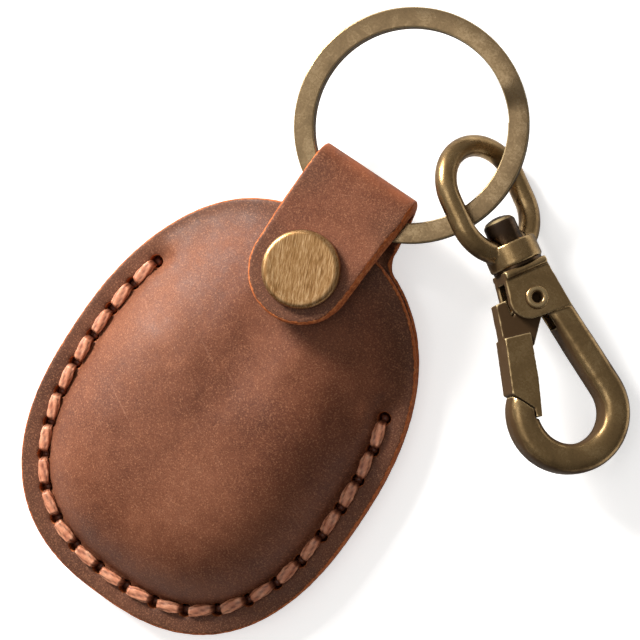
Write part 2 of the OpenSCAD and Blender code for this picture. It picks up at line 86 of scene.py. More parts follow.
# Sizes of the pouch, as in part.scad: an egg of two superellipses that meet where it is widest
POUCH_W, POUCH_L, LEATHER = 46.0, 58.0, 1.8
HALF = LEATHER / 2
TOP_Y = POUCH_L / 2
B_TOP = POUCH_L * 0.53
B_BOTTOM = POUCH_L - B_TOP
WIDEST_Y = TOP_Y - B_TOP
P_TOP, P_BOTTOM = 2.3, 2.5
DOME_H, DOME_DROP = 8.4, 31.5
DOME_Y = TOP_Y - DOME_DROP
MOUTH_GAP, LIP_SLOPE, LIP_EASE = 4.4, math.radians(6), 0.6
SEAM_INSET, SEAM_END_Y, STITCHES = 3.0, TOP_Y - 17.2, 23
HOLE_R, THREAD_W, FOOT_GAP = 0.85, 1.3, 0.5
FOOT_INSET = SEAM_INSET + THREAD_W / 2 + FOOT_GAP

# Sizes of the strap and the snap, as in part.scad
STRAP_W, TIP_TAPER = 14.6, 0.45
FOLD_Y, FOLD_Z, FOLD_R = TOP_Y + 5.2, 6.4, 1.4
ROOT_Y, LIFT_Y = TOP_Y - 1.6, TOP_Y - 0.3
SNAP_Y, SNAP_GAP, BEND_REACH = TOP_Y - 7, 2.0, 5.3

# Sizes of the metal pieces, as in part.scad
RING_R, WIRE_W, WIRE_T, TURN_GAP = 15.0, 2.6, 1.0, 0.06
RING_X, RING_Y, RING_SPLIT_AT, RING_CLIMB = 0.495, 44.9217, 38, 22
CHAIN_AT, CHAIN_TURN, CHAIN_PITCH = (RING_X + 20.4, RING_Y - 6.78, FOLD_Z - 1), 58, 1.8
EYE_ROLL, HOOK_ROLL = 44, 22
EYE_R, EYE_WIRE_R, EYE_Y, EYE_STRETCH = 5.6, 1.4, 8.3, 1.7
PIVOT_X, PIVOT_Y = -0.2, -5.5

# Cut edges and punched holes of the leather
EDGE_R, HOLE_FLARE, EDGE_RINGS, EDGE_POWER, EDGE_RAGGED = 0.45, 0.15, 7, 0.62, 0.05

# Rows of points in the leather's mesh, and how near to each other they may come
EDGE_STEP, EDGE_ROW, SEAM_ROW_STEP, SEAM_OVERRUN = 0.42, 0.35, 0.42, 0.05
SEAM_ROW_INSETS = (1.9, 2.25, 2.6, 3.0, 3.4, 3.75, 4.1, 4.5, 5.0, 5.6)
HOLE_SIDES, HOLE_ROW_SIDES, HOLE_ROW_R, HOLE_ROW_TURN = 14, 12, 1.35, 0.2
ROW_FROM_HOLE, ROW_FROM_ROW, ROW_FROM_EDGE = 1.6, 0.22, 0.2
LATTICE_FROM_HOLE, LATTICE_GAP, TRIANGLE_H = 1.7, 0.6, 0.866
BACK_STEP, FRONT_STEP = 0.85, 0.75

rng = np.random.default_rng(7)


# Mesh tools
def mesh_object(name, verts, faces, scale=MM):
    """An object in metres, from verts in millimetres."""
    mesh = bpy.data.meshes.new(name)
    mesh.from_pydata((np.asarray(verts, float) * scale).tolist(), [], [tuple(map(int, f)) for f in faces])
    mesh.update()
    mesh.shade_smooth()
    return new_object(name, mesh)


def set_attribute(obj, name, values, kind="FLOAT"):
    attribute = obj.data.attributes.new(name, kind, "POINT")
    values = np.asarray(values, np.float32)
    attribute.data.foreach_set("vector" if kind == "FLOAT_VECTOR" else "value", values.ravel())


def vertices_of(obj):
    """An object's vertices, in millimetres."""
    values = np.empty(len(obj.data.vertices) * 3)
    obj.data.vertices.foreach_get("co", values)
    return values.reshape(-1, 3) / MM


def normals_of(obj):
    values = np.empty(len(obj.data.vertices) * 3, np.float32)
    obj.data.vertex_normals.foreach_get("vector", values)
    return values.reshape(-1, 3)


def faces_of(obj):
    return [tuple(p.vertices) for p in obj.data.polygons]


def sharpen(obj, degrees):
    """Edges that bend by more than this are shaded as sharp."""
    obj.data.set_sharp_from_angle(angle=math.radians(degrees))


def joined(parts):
    """Verts and faces of several parts as one."""
    faces, at = [], 0
    for verts, own in parts:
        faces += [tuple(at + i for i in face) for face in own]
        at += len(verts)
    return np.vstack([verts for verts, _ in parts]), faces


def tube_faces(loops, n, closed=False):
    """Faces between loops of n points each. An open tube has a cap at both ends."""
    faces = []
    for j in range(loops if closed else loops - 1):
        a, b = j * n, ((j + 1) % loops) * n
        faces += [(a + i, a + (i + 1) % n, b + (i + 1) % n, b + i) for i in range(n)]
    if not closed:
        faces.append(tuple(reversed(range(n))))
        faces.append(tuple((loops - 1) * n + i for i in range(n)))
    return faces


def lathe(profile, sides, axis="Z"):
    """Verts and faces of a closed profile of (radius, height) turned about an axis.
    Its points on the axis coincide until weld() merges them."""
    turns = np.linspace(0, 2 * math.pi, sides, endpoint=False)
    verts = []
    for t in turns:
        for r, h in profile:
            x, y = r * math.cos(t), r * math.sin(t)
            verts.append((x, y, h) if axis == "Z" else (y, h, x))
    n = len(profile)
    faces = []
    for j in range(sides):
        a, b = j * n, ((j + 1) % sides) * n
        for i in range(n - 1):
            quad = (a + i, b + i, b + i + 1, a + i + 1)
            if profile[i][0] == 0:
                quad = (a + i, b + i + 1, a + i + 1)
            elif profile[i + 1][0] == 0:
                quad = (a + i, b + i, a + i + 1)
            faces.append(quad)
    return np.array(verts), faces


def weld(obj, distance=1e-7):
    """Merges the object's vertices that lie within this distance, in the object's own unit."""
    bm = bmesh.new()
    bm.from_mesh(obj.data)
    bmesh.ops.remove_doubles(bm, verts=bm.verts, dist=distance)
    bmesh.ops.delete(bm, geom=[v for v in bm.verts if not v.link_faces], context="VERTS")
    bmesh.ops.recalc_face_normals(bm, faces=bm.faces)
    bm.to_mesh(obj.data)
    bm.free()


def moved(verts, matrix):
    m = np.array(matrix)
    return np.asarray(verts) @ m[:3, :3].T + m[:3, 3]


def run_along(line):
    """Distance along a line to each of its points."""
    return np.concatenate([[0], np.cumsum(np.linalg.norm(np.diff(line, axis=0), axis=1))])


def unit(v):
    return v / np.linalg.norm(v, axis=1)[:, None]


def resample(points, step=None, count=None, closed=True):
    """Points at even distances along a line, either a step apart or so many."""
    points = np.asarray(points, float)
    loop = np.vstack([points, points[:1]]) if closed else points
    run = run_along(loop)
    count = count or max(3, int(round(run[-1] / step)) + (0 if closed else 1))
    at = np.linspace(0, run[-1], count, endpoint=not closed)
    return np.stack([np.interp(at, run, loop[:, k]) for k in range(loop.shape[1])], 1)


def circle(x, y, radius, sides, turn=0.0):
    t = np.linspace(0, 2 * math.pi, sides, endpoint=False) + turn
    return np.stack([x + radius * np.cos(t), y + radius * np.sin(t)], 1)


def outward(loop):
    """Unit normals of a counterclockwise closed loop, pointing out."""
    d = unit(np.roll(loop, -1, 0) - np.roll(loop, 1, 0))
    return np.stack([d[:, 1], -d[:, 0]], 1)


def inside(points, loop):
    x, y = points[:, 0][:, None], points[:, 1][:, None]
    x0, y0 = loop[:, 0][None], loop[:, 1][None]
    x1, y1 = np.roll(loop[:, 0], -1)[None], np.roll(loop[:, 1], -1)[None]
    cross = ((y0 > y) != (y1 > y)) & (x < (x1 - x0) * (y - y0) / np.where(y1 == y0, 1e-12, y1 - y0) + x0)
    return cross.sum(1) % 2 == 1


def nearest(points, others, chunk=400):
    """Distance from each point to the nearest of the others, a chunk of them at a time to save memory."""
    best = np.full(len(points), np.inf)
    for i in range(0, len(others), chunk):
        d = np.linalg.norm(points[:, None] - others[None, i:i + chunk], axis=2).min(1)
        best = np.minimum(best, d)
    return best


def fade(values, start, reach):
    """0 up to start and 1 from start + reach on, with an even rise between."""
    return np.clip((values - start) / reach, 0, 1)


def smooth_noise(points, scale, seed):
    return np.array([noise.noise(Vector((p[0] * scale + seed, p[1] * scale - seed, seed))) for p in points])


def neighbours(faces, count):
    """Both ends of every edge, as two arrays, and how many neighbours each vertex has."""
    pairs = np.array([(f[i], f[(i + 1) % len(f)]) for f in faces for i in range(len(f))], int)
    pairs = np.unique(np.sort(pairs, 1), axis=0)
    a = np.concatenate([pairs[:, 0], pairs[:, 1]])
    b = np.concatenate([pairs[:, 1], pairs[:, 0]])
    return a, b, np.maximum(1, np.bincount(a, minlength=count))


def averaged(values, links, rounds, share=1.0):
    """Values moved towards the mean of their neighbours', by a share each round."""
    a, b, count = links
    values = np.array(values, float).reshape(len(count), -1)
    for _ in range(rounds):
        sums = [np.bincount(a, values[b, k], len(count)) for k in range(values.shape[1])]
        values = values + share * (np.stack(sums, 1) / count[:, None] - values)
    return values


# Outline, seam and dome of the leather
def signed_power(v, p):
    return np.sign(v) * np.abs(v) ** p


def egg(a, inset=0.0):
    """Points of the pouch's outline at angles a, or of the line that far inside it."""
    top = np.sin(a) >= 0
    p, b = np.where(top, P_TOP, P_BOTTOM), np.where(top, B_TOP, B_BOTTOM)
    x = (POUCH_W / 2 - inset) * signed_power(np.cos(a), 2 / p)
    y = WIDEST_Y + (b - inset) * signed_power(np.sin(a), 2 / p)
    return np.stack([x, y], -1)


def from_crown(points):
    """Direction in degrees, 0 towards the mouth, and distance of points from the dome's crown."""
    x, y = points[..., 0], points[..., 1] - DOME_Y
    return np.degrees(np.arctan2(x, y)), np.hypot(x, y)


SEAM_END_A = math.asin(((SEAM_END_Y - WIDEST_Y) / (B_TOP - SEAM_INSET)) ** (P_TOP / 2))
seam_line = egg(np.linspace(math.pi - SEAM_END_A, 2 * math.pi + SEAM_END_A, 1200), SEAM_INSET)
seam_samples = seam_line[::6]
seam_holes = resample(seam_line, count=STITCHES + 1, closed=False)
edge_line = egg(np.linspace(0, 2 * math.pi, 1441)[:-1])
edge_turn, edge_reach = from_crown(edge_line)
edge_order = np.argsort(edge_turn)
OPEN_TURN = float(from_crown(egg(np.array([SEAM_END_A]), SEAM_INSET)[0])[0]) - 2.5


def lip_line(drop):
    return MOUTH_GAP + drop * math.tan(LIP_SLOPE)


def lip_height(drop):
    """Height inside the front on its middle line, at a distance below the top edge."""
    ease = DOME_DROP * LIP_EASE
    t = DOME_DROP - drop
    u = np.clip(t / ease, 0, 1)
    curve = DOME_H + (3 - 2 * u) * u ** 2 * (lip_line(DOME_DROP - ease) - DOME_H) \
        + (1 - u) * u ** 2 * ease * math.tan(LIP_SLOPE)
    return np.where(t < ease, curve, lip_line(drop))


def front_inside(xy):
    """How far the front leather's inside stands over the rim."""
    turn, reach = from_crown(xy)
    far = np.interp(turn, edge_turn[edge_order], edge_reach[edge_order], period=360)
    share = reach / far
    open_share = np.where(np.abs(turn) < OPEN_TURN, np.cos(np.radians(90 * turn / OPEN_TURN)) ** 2, 0)
    s = np.clip(share * far / (far - FOOT_INSET), 0, 1)
    closed = DOME_H * np.maximum(0, 1 - s ** 4) ** 0.8
    return open_share * lip_height(DOME_DROP * (1 - share)) + (1 - open_share) * closed


# Leather pieces: a flat pattern with punched holes, given thickness and then put in place
def seam_rows():
    """Rows of points along the seam, so that its groove and dents have a fine mesh."""
    a = np.linspace(math.pi - SEAM_END_A - SEAM_OVERRUN, 2 * math.pi + SEAM_END_A + SEAM_OVERRUN, 900)
    rows = [resample(egg(a, inset), step=SEAM_ROW_STEP, closed=False) for inset in SEAM_ROW_INSETS]
    rows = np.vstack([row[k % 2:] for k, row in enumerate(rows)])
    return rows[nearest(rows, seam_holes) > ROW_FROM_HOLE]


def lattice_inside(rim, step):
    """Points of even triangles, for the middle of a pattern piece."""
    low, high = rim.min(0), rim.max(0)
    lines = []
    for k, y in enumerate(np.arange(low[1], high[1], step * TRIANGLE_H)):
        x = np.arange(low[0] + (k % 2) * step / 2, high[0], step)
        lines.append(np.stack([x, np.full(len(x), y)], 1))
    lattice = np.vstack(lines)
    return lattice[inside(lattice, rim)]


def triangulated(points, loops):
    """Triangles that keep the loops' edges and leave the holes open. The first loop is the outer one."""
    edges = [(loop[i], loop[(i + 1) % len(loop)]) for loop in loops for i in range(len(loop))]
    verts, _, faces, origins, _, _ = delaunay_2d_cdt([Vector(p) for p in points.tolist()], edges, [], 1, 1e-7)
    new = {old: i for i, olds in enumerate(origins) for old in olds}
    loops = [[new[k] for k in loop] for loop in loops]
    hole_of = {k: hole for hole, loop in enumerate(loops[1:]) for k in loop}
    kept = [f for f in faces if not (f[0] in hole_of and len({hole_of.get(k, -1) for k in f}) == 1)]
    return np.array([v[:] for v in verts]), kept, loops


def facing_up(flat, faces):
    area = sum((flat[b][0] - flat[a][0]) * (flat[c][1] - flat[a][1])
               - (flat[c][0] - flat[a][0]) * (flat[b][1] - flat[a][1]) for a, b, c in faces)
    return faces if area >= 0 else [tuple(reversed(f)) for f in faces]


def flat_piece(outline, step):
    """Points and triangles of a pattern piece with the seam's holes, its outer loop, and the holes' loops."""
    outline = resample(outline, step=EDGE_STEP)
    rim = outline - EDGE_R * outward(outline)
    fixed, loops = [rim], [list(range(len(rim)))]
    for x, y in seam_holes:
        start = loops[-1][-1] + 1
        fixed.append(circle(x, y, HOLE_R + HOLE_FLARE, HOLE_SIDES))
        loops.append(list(range(start, start + HOLE_SIDES)))
    rows = [circle(x, y, HOLE_ROW_R, HOLE_ROW_SIDES, HOLE_ROW_TURN) for x, y in seam_holes]
    rows = np.vstack(rows + [rim - EDGE_ROW * outward(rim)])
    along_seam = seam_rows()
    rows = np.vstack([rows, along_seam[nearest(along_seam, rows) > ROW_FROM_ROW]])
    rows = rows[inside(rows, rim) & (nearest(rows, rim) > ROW_FROM_EDGE)]
    lattice = lattice_inside(rim, step)
    gap = LATTICE_GAP * step
    lattice = lattice[(nearest(lattice, rim) > gap) & (nearest(lattice, rows) > gap)]
    lattice = lattice[nearest(lattice, seam_holes) > LATTICE_FROM_HOLE]
    flat, faces, loops = triangulated(np.vstack(fixed + [rows, lattice]), loops)
    return flat, facing_up(flat, faces), loops[0], loops[1:]


def cut_edge(flat, loop, normals, reach, first):
    """The rounded wall of a cut edge: rings of points from a loop of the upper face to the same one below."""
    count = len(loop)
    ragged = EDGE_RAGGED * smooth_noise(flat[loop], 1.7, 3.0)
    points, bare, rings = [], [], [loop]
    for k in range(1, EDGE_RINGS + 1):
        phi = math.pi * k / (EDGE_RINGS + 1)
        w = math.copysign(abs(math.cos(phi)) ** EDGE_POWER, math.cos(phi))
        out = reach * math.sin(phi) ** EDGE_POWER
        ring = flat[loop] + (out + ragged[:, None] * math.sin(phi)) * normals
        points.append(np.column_stack([ring, np.full(count, w)]))
        bare.append(np.full(count, min(1.0, 0.35 + 1.1 * math.sin(phi))))
        rings.append(list(range(first, first + count)))
        first += count
    rings.append([len(flat) + k for k in loop])
    faces = [(a[i], b[i], b[(i + 1) % count], a[(i + 1) % count])
             for a, b in zip(rings, rings[1:]) for i in range(count)]
    return np.vstack(points), np.concatenate(bare), faces


def eased(points, faces, amount, rounds=60):
    """Points whose height is averaged with their neighbours', by an amount from 0 to 1."""
    height = averaged(points[:, 2], neighbours(faces, len(points)), rounds)[:, 0]
    return np.column_stack([points[:, :2], points[:, 2] + amount * (height - points[:, 2])])


def mark_leather(obj, uvw, bare, outline):
    """pattern: the place in the pattern piece. edge: up to 1 where the leather is cut or torn.
    rim: up to 1 at the outline."""
    xy = uvw[:, :2]
    torn = np.clip(1.5 - nearest(xy, seam_holes) / 0.95, 0, 0.62) * (0.55 + 0.9 * smooth_noise(xy, 0.9, 11.0))
    set_attribute(obj, "pattern", uvw * (1, 1, HALF), "FLOAT_VECTOR")
    set_attribute(obj, "edge", np.clip(np.maximum(bare, torn), 0, 1))
    set_attribute(obj, "rim", np.clip(1.4 - nearest(xy, outline[::4]) / 3.4, 0, 1))


def leather_shell(name, outline, step, place, ease=None):
    """A pattern piece with both faces, rounded cut edges and punched holes. place(uvw) gives its points:
    u and v lie in the pattern, and w runs from -1, the lower face, to 1, the upper one."""
    flat, faces, rim, holes = flat_piece(outline, step)
    n = len(flat)
    uvw = [np.column_stack([flat, np.ones(n)]), np.column_stack([flat, -np.ones(n)])]
    bare = [np.zeros(2 * n)]
    faces = list(faces) + [tuple(n + k for k in reversed(f)) for f in faces]
    cuts = [(rim, outward(flat[rim]), EDGE_R)]
    for hole in holes:
        loop = hole[::-1]
        inward = flat[loop].mean(0) - flat[loop]
        cuts.append((loop, unit(inward), HOLE_FLARE))
    at = 2 * n
    for loop, normals, reach in cuts:
        points, bare_points, walls = cut_edge(flat, loop, normals, reach, at)
        uvw.append(points)
        bare.append(bare_points)
        faces += walls
        at += len(points)
    uvw = np.vstack(uvw)
    places = place(uvw)
    if ease is not None:
        places = eased(places, faces, ease(uvw))
    obj = mesh_object(name, places, faces)
    mark_leather(obj, uvw, np.concatenate(bare), outline)
    return obj


# Strap: its middle layer as a path of Y and Z
PATH_LEAD, PATH_TAIL, PATH_STEP = 8, 9, 0.05
PATH_SOFTNESS, PATH_REACH, PATH_STRAIGHT = 0.32, 24, 30
SEAT_Z = 2 * LEATHER + float(lip_height(TOP_Y - SNAP_Y))


def strap_corners():
    """The middle layer from the pouch's back, round the fold and past the snap, and its point at the snap."""
    s, c = math.sin(LIP_SLOPE), math.cos(LIP_SLOPE)
    bend_y = SNAP_Y + SNAP_GAP * s + BEND_REACH * c
    bend_z = SEAT_Z + SNAP_GAP * c - BEND_REACH * s
    back_slope = math.atan2(FOLD_Z, FOLD_Y - LIFT_Y) \
        - math.asin((FOLD_R + LEATHER) / math.hypot(FOLD_Y - LIFT_Y, FOLD_Z))
    front_slope = math.atan2(bend_z - FOLD_Z, FOLD_Y - bend_y) \
        - math.asin(FOLD_R / math.hypot(FOLD_Y - bend_y, bend_z - FOLD_Z))
    half = (front_slope - LIP_SLOPE) / 2
    mitre = HALF / math.cos(half)
    r = FOLD_R + HALF
    fold = np.linspace(back_slope - math.pi / 2, math.pi / 2 - front_slope, 60)
    snap = (SNAP_Y + (SNAP_GAP + HALF) * s, SEAT_Z + (SNAP_GAP + HALF) * c)
    points = [(ROOT_Y - PATH_LEAD, HALF), (LIFT_Y - HALF * math.tan(back_slope / 2), HALF)]
    points += [(FOLD_Y + r * math.cos(a), FOLD_Z + r * math.sin(a)) for a in fold]
    points.append((bend_y + mitre * math.sin(LIP_SLOPE + half), bend_z + mitre * math.cos(LIP_SLOPE + half)))
    points += [snap, (snap[0] - PATH_TAIL * c, snap[1] + PATH_TAIL * s)]
    return points, np.array(snap)


def softened(points):
    """The path in even steps, its corners rounded by a moving average and its two ends kept straight."""
    path = resample(points, step=PATH_STEP, closed=False)
    kernel = np.exp(-0.5 * (np.arange(-PATH_REACH, PATH_REACH + 1) * PATH_STEP / PATH_SOFTNESS) ** 2)
    kernel /= kernel.sum()
    padded = np.vstack([path[:1]] * PATH_REACH + [path] + [path[-1:]] * PATH_REACH)
    smooth = np.stack([np.convolve(padded[:, k], kernel, "valid") for k in range(2)], 1)
    smooth[:PATH_STRAIGHT] = path[:PATH_STRAIGHT]
    smooth[-PATH_STRAIGHT:] = path[-PATH_STRAIGHT:]
    return smooth


def strap_path():
    """The path, the pattern's V along it, its normals, and the V of the snap."""
    corners, snap = strap_corners()
    path = softened(corners)
    run = run_along(path)
    v = run + ROOT_Y - PATH_LEAD
    d = unit(np.gradient(path, axis=0))
    return path, v, np.stack([-d[:, 1], d[:, 0]], 1), v[np.argmin(np.linalg.norm(path - snap, axis=1))]


PATH, PATH_V, PATH_NORMAL, SNAP_V = strap_path()
CREST_V = float(PATH_V[np.argmax(PATH[:, 0])])

# Cut of the strap's root and tip, and depth of the leather's dents and grooves
ROOT_FILLET, ROOT_CORNER_Y, STRAP_NARROWING = 1.7, 28.1, 0.03
NARROW_START, NARROW_END = 12.5, 10.5
BACK_GROOVE, BACK_GROOVE_R = 0.72, 0.85
STITCH_DENT, STITCH_DENT_R, SEAM_VALLEY, SEAM_VALLEY_R = 0.22, 1.15, 0.10, 1.0
KNIFE_SLANT = 0.6


def back_outline():
    """The back and its strap as one pattern piece, with the strap laid out flat."""
    half_w, tip_w = STRAP_W / 2, STRAP_W / 2 - TIP_TAPER
    right = egg(np.linspace(-math.pi / 2, math.pi / 2, 900))
    right = right[~((right[:, 0] < half_w + ROOT_FILLET) & (right[:, 1] > 0))]
    corner = np.array([half_w, ROOT_CORNER_Y])
    end = np.array([half_w, ROOT_CORNER_Y + ROOT_FILLET])
    t = np.linspace(0, 1, 12)[1:, None]
    fillet = (1 - t) ** 2 * right[-1] + 2 * t * (1 - t) * corner + t ** 2 * end
    narrow = np.array([[half_w, SNAP_V - NARROW_START], [half_w - STRAP_NARROWING, SNAP_V - NARROW_END]])
    tip_a = np.linspace(0, math.pi / 2, 60)
    tip = np.stack([tip_w * np.cos(tip_a), SNAP_V + tip_w * np.sin(tip_a)], 1)
    side = np.vstack([right, fillet, narrow, tip])
    return np.vstack([side, (side * (-1, 1))[::-1][1:-1]])


def place_back(uvw):
    """The back lies flat, and from its root on the strap follows its path."""
    u, v, w = uvw.T
    xy = uvw[:, :2]
    groove = BACK_GROOVE * np.exp(-(nearest(xy, seam_samples) / BACK_GROOVE_R) ** 4)
    layer = w * HALF + np.where(v < SEAM_END_Y + 1.5, groove, 0) * (w < -0.5)
    flat = v < ROOT_Y - PATH_LEAD + 1
    lines = zip((v, HALF, 0, 1), (*PATH.T, *PATH_NORMAL.T))
    y, z, normal_y, normal_z = (np.where(flat, here, np.interp(v, PATH_V, line)) for here, line in lines)
    # The knife slanted: on one side the strap's grain face ends short of its flesh face
    slant = KNIFE_SLANT * (1 - w) / 2 * fade(u, 5.2, 2) * fade(v - ROOT_Y, 4, 6)
    slant *= 0.8 + 0.35 * smooth_noise(xy, 0.5, 2.0)
    return np.stack([u - slant, y + layer * normal_y, z + layer * normal_z], 1)


def place_front(uvw):
    """The moulded front, with dents under the stitches and soft waves in its grain face."""
    u, v, w = uvw.T
    xy = uvw[:, :2]
    h = front_inside(xy)
    dents = STITCH_DENT * np.exp(-(nearest(xy, seam_holes) / STITCH_DENT_R) ** 2)
    valley = SEAM_VALLEY * np.exp(-(nearest(xy, seam_samples) / SEAM_VALLEY_R) ** 2)
    wave = 0.10 * smooth_noise(xy, 0.11, 5.0) * np.clip(h / DOME_H, 0, 1) + 0.05 * smooth_noise(xy, 0.45, 9.0)
    z = LEATHER + h + HALF + w * HALF + (wave - (dents + valley)) * (w + 1) / 2
    return np.stack([u, v, z], 1)


def front_ease(uvw):
    """Where the moulded front's ridge beside the open mouth is smoothed away."""
    xy = uvw[:, :2]
    amount = fade(xy[:, 1], 5, 6) * fade(nearest(xy, edge_line[::8]), 0.8, 2.0)
    return amount * fade(nearest(xy, seam_holes), 1.6, 1.5) * fade(np.abs(xy[:, 0]), 3, 4)


back = leather_shell("back_and_strap", back_outline(), BACK_STEP, place_back)
front = leather_shell("pocket_front", edge_line, FRONT_STEP, place_front, front_ease)

# Stitches: level they lie on, way up, width and its unevenness, height, and how deep their ends go
FRONT_STITCH = (2 * LEATHER - 0.06, 1, 1.5, 0.1, 0.8, 1.0)
BACK_STITCH = (0.78, -1, 1.35, 0.06, 0.66, 0.5)
STITCH_RINGS, STITCH_SIDES, STITCH_SHORTER = 54, 20, 0.72

# Thread inside a hole: its lowest and highest ring, and its radius, which is less above LINING_STEP_Z
LINING_RINGS, LINING_SIDES, LINING_LOW, LINING_HIGH = 8, 10, 0.5, 2 * LEATHER - 1.0
LINING_R, LINING_TOP_R, LINING_STEP_Z = 0.86, 0.5, 1.6


def stitch(a, b, kind, uneven, lean, seed):
    """A flat braided stitch from hole a to hole b: it leaves one, lies on the leather and enters the other.
    Returns its verts, its faces, and how dark each vertex is: painted shade in the grooves between its plies
    and towards its ends, where it dives into the holes."""
    base, up, width, unevenness, height, depth = kind
    d = np.append(b - a, 0) / np.linalg.norm(b - a)
    across, upward = np.array([-d[1], d[0], 0]), np.array([0, 0, up])
    length = np.linalg.norm(b - a) - STITCH_SHORTER
    middle = np.append((a + b) / 2, base)
    t = np.linspace(-1, 1, STITCH_RINGS)
    out = np.abs(t)
    along = np.sign(t) * (1 - (1 - out) ** 1.35) * length / 2
    along = np.where(out > 0.9, np.sign(t) * length / 2 * (0.985 + 0.015 * out), along)
    rise = height * 0.52 - (height * 0.52 + depth) * fade(out, 0.60, 0.40) ** 1.9
    wide = (width + unevenness * uneven) * (0.50 + 0.50 * np.cos(out * math.pi / 2) ** 0.8)
    thick = height * (0.86 + 0.14 * np.cos(t * math.pi / 2))
    phi = np.linspace(0, 2 * math.pi, STITCH_SIDES, endpoint=False)
    verts, shade = [], []
    for k in range(STITCH_RINGS):
        ply = np.abs(np.sin(2.5 * phi + along[k] * 0.9 + seed))
        wave = 0.5 + 0.5 * math.sin(along[k] * 5.0 + 2 * seed)
        grow = 1 + 0.24 * (ply - 0.7) + 0.05 * (wave - 0.5)
        x = wide[k] / 2 * signed_power(np.cos(phi), 0.75) * grow + lean * along[k]
        z = thick[k] / 2 * signed_power(np.sin(phi), 0.85) * grow + rise[k]
        verts.append(middle + d * along[k] + across * x[:, None] + upward * z[:, None])
        # Painted shade in the grooves between the plies and towards the ends, where the thread goes into the
        # holes
        shade.append(fade(0.62 - ply, 0, 0.5) * 0.8 + fade(out[k], 0.66, 0.3))
    return np.vstack(verts), tube_faces(STITCH_RINGS, STITCH_SIDES), np.concatenate(shade)


def lining(x, y):
    """Thread that fills a hole, under the stitches' ends. It is painted fully dark, as painted shade inside
    the hole.
    """
    rings = []
    for z in np.linspace(LINING_LOW, LINING_HIGH, LINING_RINGS):
        r = (LINING_R if z < LINING_STEP_Z else LINING_TOP_R) + 0.05 * math.sin(z * 7)
        rings.append(np.column_stack([circle(x, y, r, LINING_SIDES, z), np.full(LINING_SIDES, z)]))
    return np.vstack(rings), tube_faces(LINING_RINGS, LINING_SIDES)


def make_stitches():
    parts, shade = [], []
    for a, b in zip(seam_holes, seam_holes[1:]):
        front_uneven, back_uneven, lean, phase, _ = rng.uniform(-1, 1, 5)
        for kind, uneven in ((FRONT_STITCH, front_uneven), (BACK_STITCH, back_uneven)):
            verts, faces, dark = stitch(a, b, kind, uneven, 0.05 + 0.05 * lean, 3 * phase + kind[1])
            parts.append((verts, faces))
            shade.append(dark)
    for x, y in seam_holes:
        parts.append(lining(x, y))
        # The thread inside the holes gets full painted shade
        shade.append(np.ones(LINING_RINGS * LINING_SIDES))
    obj = mesh_object("saddle_stitches", *joined(parts))
    set_attribute(obj, "shade", np.clip(np.concatenate(shade), 0, 1))
    return obj


stitches = make_stitches()


# Frames of the metal pieces
def chain_matrix(roll):
    """The frame of the eye or the hook: Y is the chain's long axis, and Z the normal of the flat faces."""
    matrix = Matrix.Translation(Vector(CHAIN_AT))
    for degrees, axis in ((CHAIN_TURN, "Z"), (CHAIN_PITCH, "X"), (roll, "Y")):
        matrix = matrix @ Matrix.Rotation(math.radians(degrees), 4, axis)
    return matrix


EYE_FRAME, HOOK_FRAME = chain_matrix(EYE_ROLL), chain_matrix(HOOK_ROLL)
SNAP_FRAME = Matrix.Translation(Vector((0, SNAP_Y, SEAT_Z))) @ Matrix.Rotation(-LIP_SLOPE, 4, "X")

# Cast pieces: size of their voxels, and rounds of smoothing
EYE_VOXEL, EYE_ROUNDS = 0.11, 5
HOOK_VOXEL, HOOK_ROUNDS = 0.12, 10
GATE_VOXEL, GATE_ROUNDS = 0.1, 9

# The hook's bar below BAR_TOP is rounded further, away from the gate, and swells by about what that takes off
BAR_TOP, BAR_ROUNDS, BAR_SWELL = -11, 26, 0.10


def remesh(obj, voxel):
    modifier = obj.modifiers.new("remesh", "REMESH")
    modifier.mode, modifier.voxel_size = "VOXEL", voxel


def fused(name, parts, cutters, voxel, rounds):
    """Parts melted into one cast piece by a voxel remesh, in millimetres, with softened edges."""
    def temporary(verts, faces):
        obj = mesh_object("temporary", verts, faces, scale=1)
        weld(obj, 1e-5)
        return obj
    body = temporary(*joined(parts))
    tools = [temporary(*cutter) for cutter in cutters]
    if len(parts) > 1:
        remesh(body, voxel)
    for tool in tools:
        cut = body.modifiers.new("cut", "BOOLEAN")
        cut.operation, cut.object, cut.solver = "DIFFERENCE", tool, "EXACT"
    remesh(body, voxel)
    soften = body.modifiers.new("soften", "SMOOTH")
    soften.factor, soften.iterations = 0.5, rounds
    depsgraph = bpy.context.evaluated_depsgraph_get()
    depsgraph.update()
    mesh = bpy.data.meshes.new_from_object(body.evaluated_get(depsgraph))
    mesh.name = name
    mesh.transform(Matrix.Scale(MM, 4))
    mesh.shade_smooth()
    for leftover in [body] + tools:
        bpy.data.objects.remove(leftover)
    return new_object(name, mesh)


def node_part(node):
    """Verts and faces of a CAD node, for a softened piece in its place."""
    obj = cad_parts[node]
    return vertices_of(obj), faces_of(obj)


def round_bar(hook, gate):
    """Rounds the hook's bar, up to where it meets the gate."""
    co = vertices_of(hook)
    height = moved(co, HOOK_FRAME.inverted())[:, 1]
    from_gate = nearest(co, vertices_of(gate)[::30])
    amount = (fade(BAR_TOP - height, 0, 2) * fade(from_gate, 0.3, 1.2))[:, None]
    soft = averaged(co, neighbours(faces_of(hook), len(co)), BAR_ROUNDS, amount)
    soft += BAR_SWELL * amount * normals_of(hook)
    hook.data.vertices.foreach_set("co", (soft * MM).ravel())
    hook.data.update()


